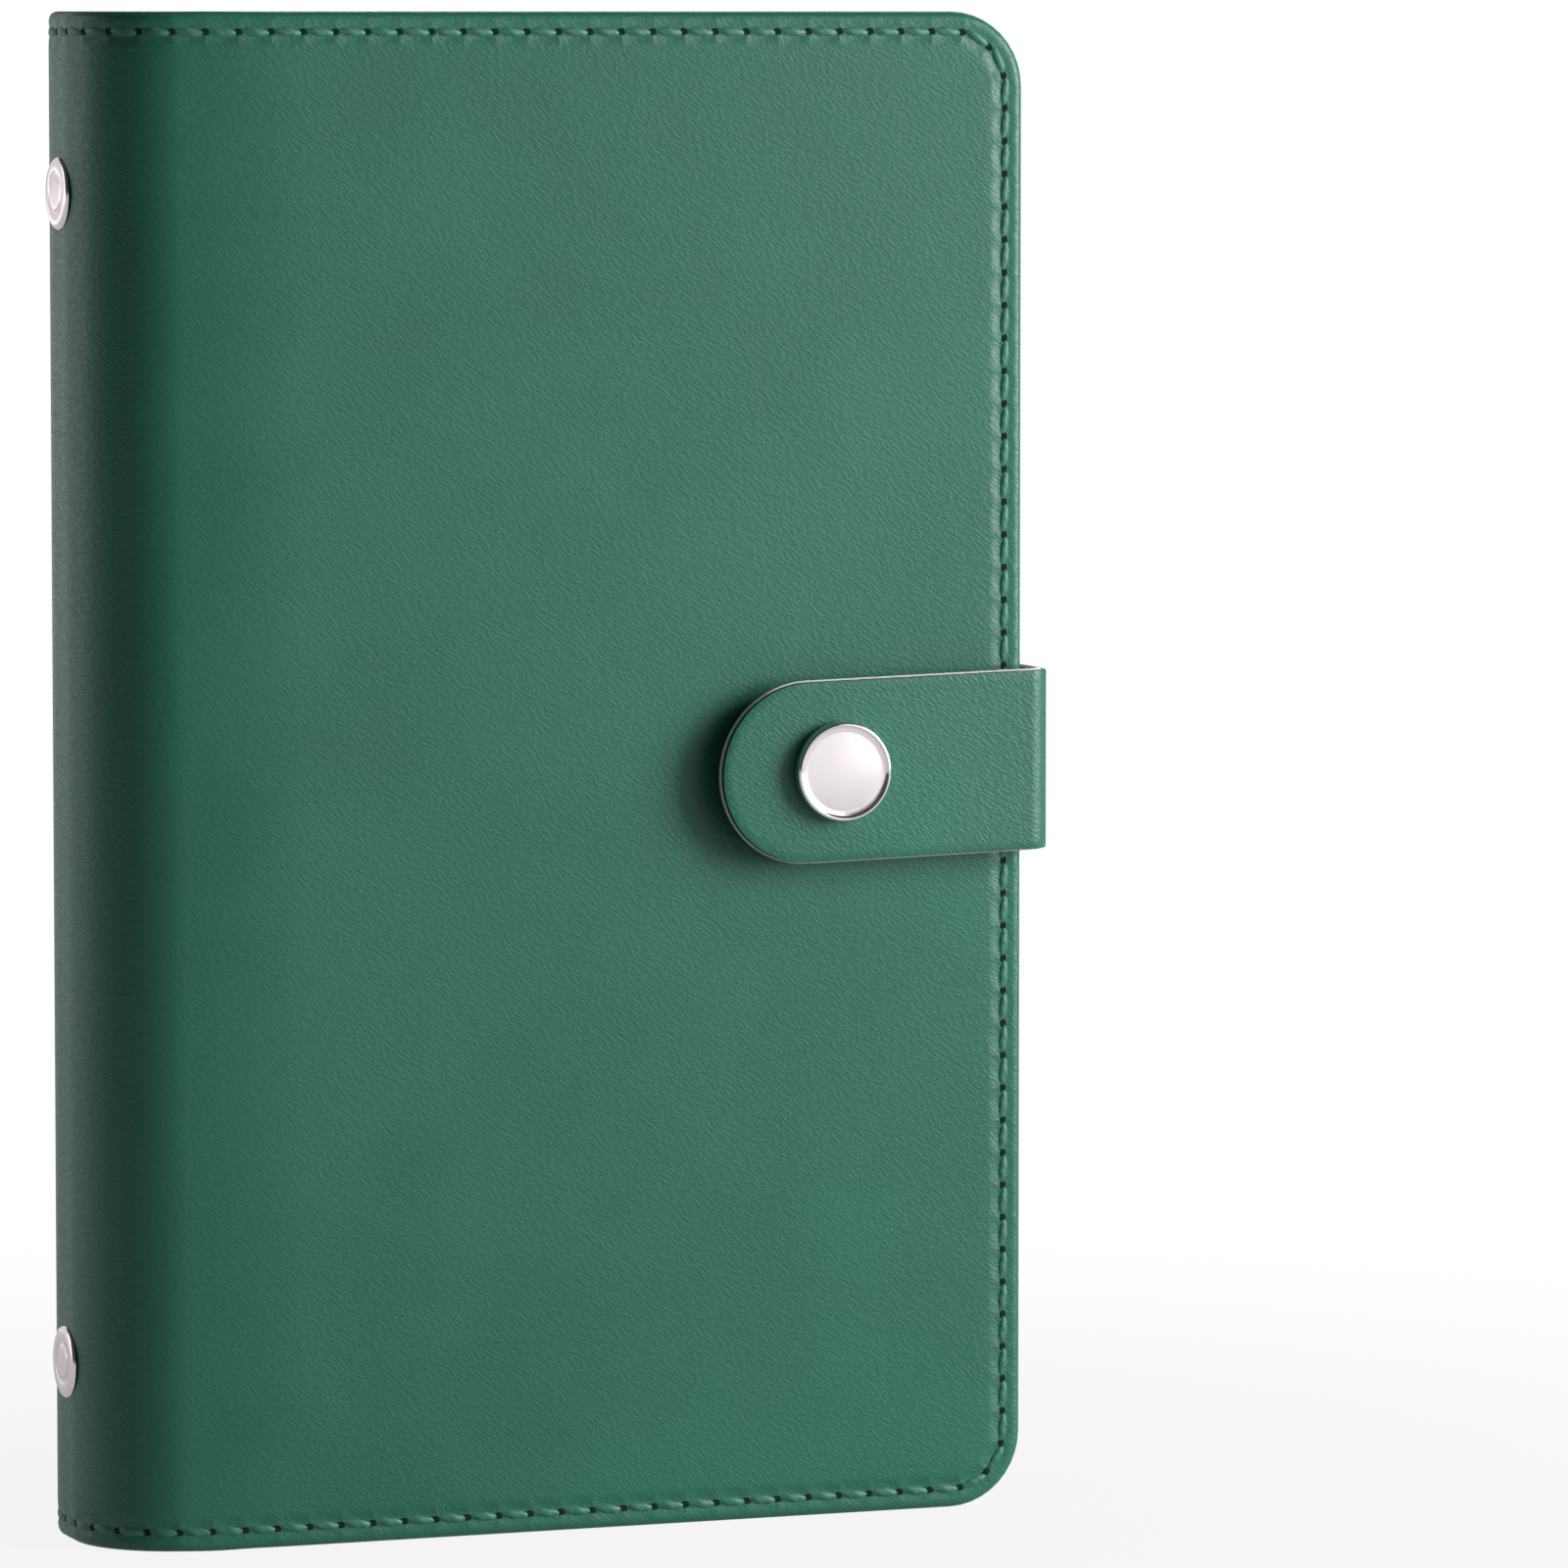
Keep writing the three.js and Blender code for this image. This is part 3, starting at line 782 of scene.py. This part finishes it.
class WALLET_OT_strap(Operator):
    """Make the strap's three layers, bent round the fore edge"""
    bl_idname = "wallet.strap"
    bl_label = "Strap"

    def execute(self, context):
        settings = context.scene.wallet_strap
        colour = context.scene.wallet_cover.leather_colour
        path = strap_path(settings)
        length = sum(run for run, radius in path["runs"])
        width = tab_high[2] - tab_low[2]
        thickness = tab_high[1] - tab_low[1]
        face, core = settings.face_thickness, settings.core_thickness
        skin = plain_leather("strap_leather", tuple(channel * 1.03 for channel in colour))
        dark = plain_leather("strap_lining", tuple(channel * 0.3 for channel in colour))
        cream = fibre_material("strap_core", settings.core_colour)
        layers = (
            ("strap_face", skin, 0.16 * MM, 0.0, face, 0.2 * MM),
            ("strap_core", cream, 0.0, face, face + core, 0.06 * MM),
            ("strap_lining", dark, 0.12 * MM, face + core, thickness, 0.1 * MM),
        )
        for name, material, inset, top, foot, edge in layers:
            rim = [(inset + 1.3 * MM, top), (inset + edge, top),
                   (inset + edge * 0.3, top + edge * 0.3), (inset, top + edge),
                   (inset, foot - edge * 0.5), (inset + edge * 0.5, foot),
                   (inset + 1.3 * MM, foot)]
            tip, root = width / 2, 2.0 * MM
            corners = [
                (length - tip, MIDDLE_Z, tip, 0.0),
                (root, MIDDLE_Z + tip - root, root, math.pi / 2),
                (root, MIDDLE_Z - tip + root, root, math.pi),
                (length - tip, MIDDLE_Z, tip, 1.5 * math.pi),
            ]
            bm = rounded_plate(corners, steps=20, rim=rim)
            for polygon in bm.faces:
                polygon.material_index = 0 if abs(polygon.normal.y) > 0.5 else 1
            cut_across(bm, bend_stations(path, step_angle=7.5))
            snap = length - (SNAP_X - tab_low[0])
            for vert in bm.verts:
                ahead = min(snap - vert.co.x, FORE_X - SNAP_X)
                vert.co.z += ahead * math.tan(settings.tilt)
            bend_along(bm, path)
            edge_paint = dark if name == "strap_face" else material
            piece = finish_object(name, bm, material, 35.0, material_slots=(edge_paint,))
            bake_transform(piece)
            if name == "strap_face":
                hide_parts("strap_wrap", "strap_tab")
        return {"FINISHED"}


class WALLET_OT_snap(Operator):
    """Make the ring snap: cap and socket on the strap, stud and eyelet on the cover"""
    bl_idname = "wallet.snap"
    bl_label = "Snap"

    def execute(self, context):
        metal = context.scene.wallet_metal
        plating = metal_material("snap_plating", metal.snap_colour, 0.10)
        radius = (cap_high[0] - cap_low[0]) / 2
        height = tab_low[1] - cap_low[1]
        cap = turned([
            (0, 0.02 * MM), (radius - 0.5 * MM, 0.02 * MM), (radius - 0.12 * MM, 0.2 * MM),
            (radius, 0.6 * MM), (radius, height - 0.7 * MM), (radius - 0.08 * MM, height - 0.3 * MM),
            (radius - 0.22 * MM, height - 0.08 * MM), (radius - 0.4 * MM, height),
            (radius - 0.54 * MM, height - 0.05 * MM), (radius - 0.62 * MM, height - 0.2 * MM),
            (radius - 0.67 * MM, height - 0.32 * MM), (radius - 0.8 * MM, height - 0.36 * MM),
            (radius * 0.78, height - 0.35 * MM), (radius * 0.6, height - 0.336 * MM),
            (radius * 0.4, height - 0.322 * MM), (radius * 0.2, height - 0.313 * MM),
            (0, height - 0.31 * MM),
        ], 96, (SNAP_X, tab_low[1], MIDDLE_Z), (0, -1, 0))
        outer = (socket_high[0] - socket_low[0]) / 2
        deep = socket_high[1] - socket_low[1]
        socket = turned([
            (1.9 * MM, 0), (outer - 0.3 * MM, 0), (outer, 0.25 * MM), (outer, deep - 0.5 * MM),
            (outer - 0.35 * MM, deep - 0.1 * MM), (outer - 0.9 * MM, deep),
            (outer - 1.6 * MM, deep - 0.25 * MM), (3.2 * MM, deep - 0.3 * MM),
            (2.8 * MM, deep - 0.05 * MM), (2.45 * MM, deep - 0.15 * MM), (2.4 * MM, deep - 0.5 * MM),
            (2.4 * MM, 0.35 * MM), (1.9 * MM, 0.3 * MM), (1.9 * MM, 0),
        ], 72, (SNAP_X, socket_low[1], MIDDLE_Z), (0, 1, 0))
        flange = (stud_high[0] - stud_low[0]) / 2
        tall = stud_high[1] - stud_low[1]
        stud = turned([
            (0, 0), (flange - 0.15 * MM, 0), (flange, 0.2 * MM), (flange - 0.2 * MM, 0.6 * MM),
            (flange - 0.8 * MM, 0.78 * MM), (3.0 * MM, 0.72 * MM), (2.1 * MM, 0.8 * MM),
            (1.75 * MM, 1.0 * MM), (1.8 * MM, 1.3 * MM), (2.0 * MM, 1.6 * MM),
            (1.9 * MM, 1.95 * MM), (1.5 * MM, tall - 0.02 * MM), (0.9 * MM, tall),
            (0.7 * MM, tall - 0.3 * MM), (0, tall - 0.35 * MM),
        ], 72, (SNAP_X, FRONT_Y, MIDDLE_Z), (0, -1, 0))
        rim = (eyelet_high[0] - eyelet_low[0]) / 2
        inner_face = FRONT_Y + COVER_THICKNESS
        proud = eyelet_high[1] - inner_face
        eyelet = turned([
            (0, -0.6 * MM), (1.4 * MM, -0.6 * MM), (1.5 * MM, 0), (rim - 0.1 * MM, 0),
            (rim, 0.12 * MM), (rim - 0.2 * MM, 0.4 * MM), (rim - 0.9 * MM, proud),
            (2.2 * MM, proud - 0.04 * MM), (1.5 * MM, proud - 0.3 * MM), (0, proud - 0.36 * MM),
        ], 72, (SNAP_X, inner_face, MIDDLE_Z), (0, 1, 0))
        for node, body, shape in (
                ("snap_cap", "strap", cap), ("snap_socket", "strap", socket),
                ("snap_stud", "front_cover", stud), ("snap_eyelet", "front_cover", eyelet)):
            piece = finish_object(f"{node}_polished", shape, plating, smooth_angle=60.0)
            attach(piece, body)
            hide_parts(node)
        return {"FINISHED"}


class WALLET_OT_rivets(Operator):
    """Make the two spine rivets with their rolled heads"""
    bl_idname = "wallet.rivets"
    bl_label = "Spine rivets"

    def execute(self, context):
        metal = context.scene.wallet_metal
        plating = metal_material("rivet_plating", metal.rivet_colour, 0.16)
        for place in ("top", "bottom"):
            node = f"spine_rivet_{place}"
            low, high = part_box(node)
            radius = (high[1] - low[1]) / 2
            inside = high[0] - SPINE_X
            proud = 0.6 * (SPINE_X - low[0])
            rivet = turned([
                (0, -inside), (2.4 * MM, -inside), (2.9 * MM, -inside + 0.2 * MM),
                (2.9 * MM, -inside + 0.55 * MM), (1.6 * MM, -inside + 0.6 * MM),
                (1.6 * MM, -0.2 * MM), (radius - 0.3 * MM, -0.1 * MM), (radius, 0.04 * MM),
                (radius - 0.08 * MM, 0.5 * proud), (radius - 0.4 * MM, 0.82 * proud),
                (radius - 1.0 * MM, 0.93 * proud), (radius - 1.8 * MM, 0.97 * proud),
                (radius - 1.95 * MM, 0.8 * proud), (radius - 2.2 * MM, 0.8 * proud),
                (radius - 2.35 * MM, 0.98 * proud), (radius - 3.0 * MM, proud),
                (0, proud),
            ], 72, (SPINE_X, MIDDLE_Y, (low[2] + high[2]) / 2), (-1, 0, 0))
            piece = finish_object(f"{node}_polished", rivet, plating, smooth_angle=60.0)
            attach(piece, "binder")
            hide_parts(node)
        return {"FINISHED"}


class WALLET_OT_rings(Operator):
    """Make the smooth ring halves and finish the mechanism under them"""
    bl_idname = "wallet.rings"
    bl_label = "Rings"

    def execute(self, context):
        metal = context.scene.wallet_metal
        plating = metal_material("ring_plating", metal.ring_colour, 0.14)
        sheet = metal_material("housing_plating", metal.ring_colour, 0.22)
        for node in ("ring_housing", "hinge_plate_front", "hinge_plate_back"):
            slots = bpy.data.objects[node].data.materials
            slots.clear()
            slots.append(sheet)
        centre_x = SPINE_X + metal.ring_centre
        turn = math.radians(134)
        for side, label, body in ((-1, "front", "front_rings"), (1, "back", "back_rings")):
            for number in RING_NUMBERS:
                node = f"ring_{label}_{number}"
                low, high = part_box(node)
                centre = Vector((centre_x, MIDDLE_Y, (low[2] + high[2]) / 2))
                bm = bmesh.new()
                tip = centre + Vector((metal.ring_radius, side * 0.15 * MM, 0))
                section = bmesh.ops.create_circle(
                    bm, segments=14, radius=metal.wire_radius, cap_ends=True,
                    matrix=facing(tip, (0, side, 0)))
                geometry = section["verts"] + bm.edges[:] + bm.faces[:]
                swept = bmesh.ops.spin(
                    bm, geom=geometry, cent=centre, axis=(0, 0, side), dvec=(0, 0, 0),
                    angle=turn, steps=30)
                end = [item for item in swept["geom_last"] if isinstance(item, bmesh.types.BMFace)]
                leg = bmesh.ops.extrude_face_region(bm, geom=end)
                moved = verts_of(leg["geom"])
                low_x = min(vert.co.x for vert in moved)
                drop = (low_x - low[0]) / math.sin(math.pi / 4)
                heading = Vector((-1, -side, 0)).normalized()
                bmesh.ops.translate(bm, vec=heading * drop, verts=moved)
                bmesh.ops.delete(bm, geom=end, context="FACES_ONLY")
                bmesh.ops.recalc_face_normals(bm, faces=bm.faces[:])
                piece = finish_object(f"{node}_wire", bm, plating, smooth_angle=50.0)
                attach(piece, body)
                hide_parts(node)
        return {"FINISHED"}


class WALLET_OT_envelopes(Operator):
    """Make the clear film envelopes with punched holes and bowed pockets"""
    bl_idname = "wallet.envelopes"
    bl_label = "Film envelopes"

    def execute(self, context):
        settings = context.scene.wallet_film
        film = film_material("clear_film", settings.film_colour, 0.28)
        weld = film_material("welded_film", settings.film_colour, 0.5)
        ring_boxes = [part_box(f"ring_front_{number}") for number in RING_NUMBERS]
        heights = [(low[2] + high[2]) / 2 for low, high in ring_boxes]
        draw = random.Random(7)
        for number in ENVELOPE_NUMBERS:
            low, high = (Vector(corner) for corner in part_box(f"envelope_{number}"))
            middle = (low.y + high.y) / 2
            bm = bmesh.new()
            hole_x = low.x + settings.hole_margin
            edges = self.add_outline(bm, low, high, middle)
            fore = [edge for edge in edges if all(vert.co.x > hole_x for vert in edge.verts)]
            corners = [vert for edge in fore for vert in edge.verts]
            bmesh.ops.bevel(
                bm, geom=corners, offset=4 * MM, offset_type="OFFSET", segments=6,
                profile=0.5, affect="VERTICES", material=-1)
            edges = bm.edges[:]
            for height in heights:
                ring = bmesh.ops.create_circle(
                    bm, segments=28, radius=settings.hole_radius,
                    matrix=facing((hole_x, middle, height), (0, -1, 0)))
                edges += list({edge for vert in ring["verts"] for edge in vert.link_edges})
            pocket_low, pocket_high = self.pocket_corners(low, high, settings)
            edges += self.add_outline(bm, pocket_low, pocket_high, middle)
            bmesh.ops.triangle_fill(bm, edges=edges, use_beauty=True)
            plate = bmesh.ops.extrude_face_region(bm, geom=bm.faces[:])
            moved = verts_of(plate["geom"])
            still = [vert for vert in bm.verts if vert not in set(moved)]
            bmesh.ops.translate(bm, vec=(0, settings.sheet_thickness / 2, 0), verts=moved)
            bmesh.ops.translate(bm, vec=(0, -settings.sheet_thickness / 2, 0), verts=still)
            for polygon in bm.faces:
                polygon.material_index = 1
            self.add_pocket(bm, pocket_low, pocket_high, settings, draw)
            bmesh.ops.recalc_face_normals(bm, faces=bm.faces[:])
            piece = finish_object(f"envelope_{number}_film", bm, film, material_slots=(weld,))
            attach(piece, "binder")
            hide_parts(f"envelope_{number}")
        return {"FINISHED"}

    def add_outline(self, bm, low, high, y):
        """The four edges of an upright rectangle."""
        corners = ((low.x, low.z), (high.x, low.z), (high.x, high.z), (low.x, high.z))
        verts = [bm.verts.new((x, y, z)) for x, z in corners]
        return [bm.edges.new((verts[i], verts[(i + 1) % 4])) for i in range(4)]

    def pocket_corners(self, low, high, settings):
        """The corners of the pocket inside the welds, in the sheet's middle plane."""
        middle = (low.y + high.y) / 2
        start_x = low.x + 2 * settings.hole_margin
        return (Vector((start_x, middle, low.z + settings.weld_width)),
                Vector((high.x - settings.mouth_hem, middle, high.z - settings.weld_width)))

    def add_pocket(self, bm, low, high, settings, draw):
        """Two sheets that bow apart between the welds and part a little at the mouth."""
        centre, size = (low + high) / 2, high - low
        tilt, twist = draw.uniform(-0.25, 0.25), draw.uniform(-0.25, 0.25)
        for side in (-1, 1):
            grid = bmesh.ops.create_grid(
                bm, x_segments=14, y_segments=22, size=1.0, matrix=Matrix.Identity(4))
            for vert in grid["verts"]:
                across, up = vert.co.x, vert.co.y
                mouth = 1.0 if across < 0 else 0.6
                swell = (1 - mouth * across ** 2) * math.sqrt(max(0.0, 1 - up ** 2))
                swell *= 1 + tilt * up + twist * across
                offset = 0.06 * MM + min(swell, 1.0) * settings.pocket_swell
                reach_x, reach_z = across * size.x / 2, up * size.z / 2
                vert.co = centre + Vector((reach_x, side * offset, reach_z))
            for polygon in {face for vert in grid["verts"] for face in vert.link_faces}:
                polygon.material_index = 0


class WALLET_OT_stage(Operator):
    """Set the camera, the lights and a plain pale floor"""
    bl_idname = "wallet.stage"
    bl_label = "Stage"

    def execute(self, context):
        settings = context.scene.wallet_stage
        self.add_camera(settings)
        centre = Vector((0.0, 0.0, 0.1))
        lights = (
            ("key", Vector((0.55, -0.37, 0.25)), 0.3, 0.4, settings.key_energy),
            ("card", Vector((0.9, -0.98, 0.4)), 1.0, 1.2, settings.card_energy),
            ("snap_card", Vector((0.38, -0.88, 0.08)), 0.4, 0.3, settings.card_energy * 0.03),
            ("side", Vector((-1.0, 0.55, 0.3)), 0.5, 1.0, settings.side_energy * 0.5),
            ("rivet_card", Vector((-0.5, 1.15, 0.2)), 1.1, 1.4, settings.side_energy * 0.6),
            ("back_rim", Vector((0.6, 1.0, 0.8)), 0.8, 0.8, settings.card_energy),
        )
        for name, place, width, height, energy in lights:
            self.add_light(name, place, centre, width, height, energy)
        self.add_floor(settings)
        self.set_world()
        context.scene.view_settings.view_transform = "Standard"
        return {"FINISHED"}

    def add_camera(self, settings):
        data = bpy.data.cameras.new("camera")
        data.lens = settings.focal_length
        data.sensor_width = 36.0
        data.clip_end = 30.0
        camera = bpy.data.objects.new("camera", data)
        camera.location = settings.camera_place
        camera.rotation_euler = (math.pi / 2 - settings.camera_tilt, 0.0, settings.camera_turn)
        bpy.context.scene.collection.objects.link(camera)
        bpy.context.scene.camera = camera

    def add_light(self, name, place, centre, width, height, energy):
        data = bpy.data.lights.new(name, "AREA")
        data.shape = "RECTANGLE"
        data.size = width
        data.size_y = height
        data.energy = energy
        light = bpy.data.objects.new(name, data)
        light.location = place
        light.rotation_euler = (centre - place).to_track_quat("-Z", "Y").to_euler()
        bpy.context.scene.collection.objects.link(light)

    def add_floor(self, settings):
        """The floor is plain white, with a soft shadow close to the wallet."""
        bm = bmesh.new()
        bmesh.ops.create_grid(bm, x_segments=2, y_segments=2, size=6.0)
        nodes = Nodes("floor")
        rays = nodes.add("ShaderNodeLightPath")
        paint = nodes.add("ShaderNodeBsdfDiffuse")
        paint.inputs["Color"].default_value = (*settings.floor_colour, 1.0)
        glow = nodes.add("ShaderNodeEmission")
        glow.inputs["Color"].default_value = (1.0, 1.0, 1.0, 1.0)
        seen = nodes.math(
            "MAXIMUM", rays.outputs["Is Camera Ray"], rays.outputs["Is Transmission Ray"])
        mirrored = nodes.math("MULTIPLY", rays.outputs["Is Glossy Ray"], 0.55)
        seen = nodes.math("MAXIMUM", seen, mirrored)
        reach = nodes.add("ShaderNodeVectorMath", operation="LENGTH")
        nodes.join(nodes.place(), reach.inputs[0])
        plain = nodes.smooth(reach.outputs["Value"], 0.06, 0.3, 0.88, 1.0)
        mixed = nodes.add("ShaderNodeMixShader")
        nodes.join(nodes.math("MULTIPLY", seen, plain), mixed.inputs[0])
        nodes.join(paint.outputs[0], mixed.inputs[1])
        nodes.join(glow.outputs[0], mixed.inputs[2])
        nodes.join(mixed.outputs[0], nodes.output.inputs[0])
        floor = finish_object("floor", bm, nodes.material)

    def set_world(self):
        """The world is white to the camera and lights the wallet dimly."""
        world = bpy.data.worlds.new("studio")
        world.use_nodes = True
        tree = world.node_tree
        tree.nodes.clear()
        rays = tree.nodes.new("ShaderNodeLightPath")
        mixed = tree.nodes.new("ShaderNodeMixShader")
        tree.links.new(rays.outputs["Is Camera Ray"], mixed.inputs[0])
        for slot, strength in ((1, 0.06), (2, 1.0)):
            background = tree.nodes.new("ShaderNodeBackground")
            background.inputs["Color"].default_value = (1.0, 1.0, 1.0, 1.0)
            background.inputs["Strength"].default_value = strength
            tree.links.new(background.outputs[0], mixed.inputs[slot])
        output = tree.nodes.new("ShaderNodeOutputWorld")
        tree.links.new(mixed.outputs[0], output.inputs[0])
        bpy.context.scene.world = world


class WALLET_PT_panel(Panel):
    """Lists the wallet's pieces"""
    bl_idname = "WALLET_PT_panel"
    bl_label = "Cash wallet"
    bl_space_type = "VIEW_3D"
    bl_region_type = "UI"
    bl_category = "Wallet"

    def draw(self, context):
        for operator in operators:
            self.layout.operator(operator.bl_idname)
        for name in groups:
            settings = getattr(context.scene, name)
            box = self.layout.box()
            for key in settings.__annotations__:
                box.prop(settings, key)


groups = {
    "wallet_cover": CoverSettings,
    "wallet_strap": StrapSettings,
    "wallet_metal": MetalSettings,
    "wallet_film": FilmSettings,
    "wallet_stage": StageSettings,
}
operators = (
    WALLET_OT_leather, WALLET_OT_stitches, WALLET_OT_strap, WALLET_OT_snap,
    WALLET_OT_rivets, WALLET_OT_rings, WALLET_OT_envelopes, WALLET_OT_stage,
)


def register():
    for name, group in groups.items():
        bpy.utils.register_class(group)
        setattr(bpy.types.Scene, name, PointerProperty(type=group))
    for operator in operators:
        bpy.utils.register_class(operator)
    bpy.utils.register_class(WALLET_PT_panel)


def unregister():
    bpy.utils.unregister_class(WALLET_PT_panel)
    for operator in reversed(operators):
        bpy.utils.unregister_class(operator)
    for name, group in groups.items():
        delattr(bpy.types.Scene, name)
        bpy.utils.unregister_class(group)


def main():
    register()
    bpy.ops.wallet.leather()
    bpy.ops.wallet.stitches()
    bpy.ops.wallet.strap()
    bpy.ops.wallet.snap()
    bpy.ops.wallet.rivets()
    bpy.ops.wallet.rings()
    bpy.ops.wallet.envelopes()
    bpy.ops.wallet.stage()


if __name__ == "__main__":
    main()
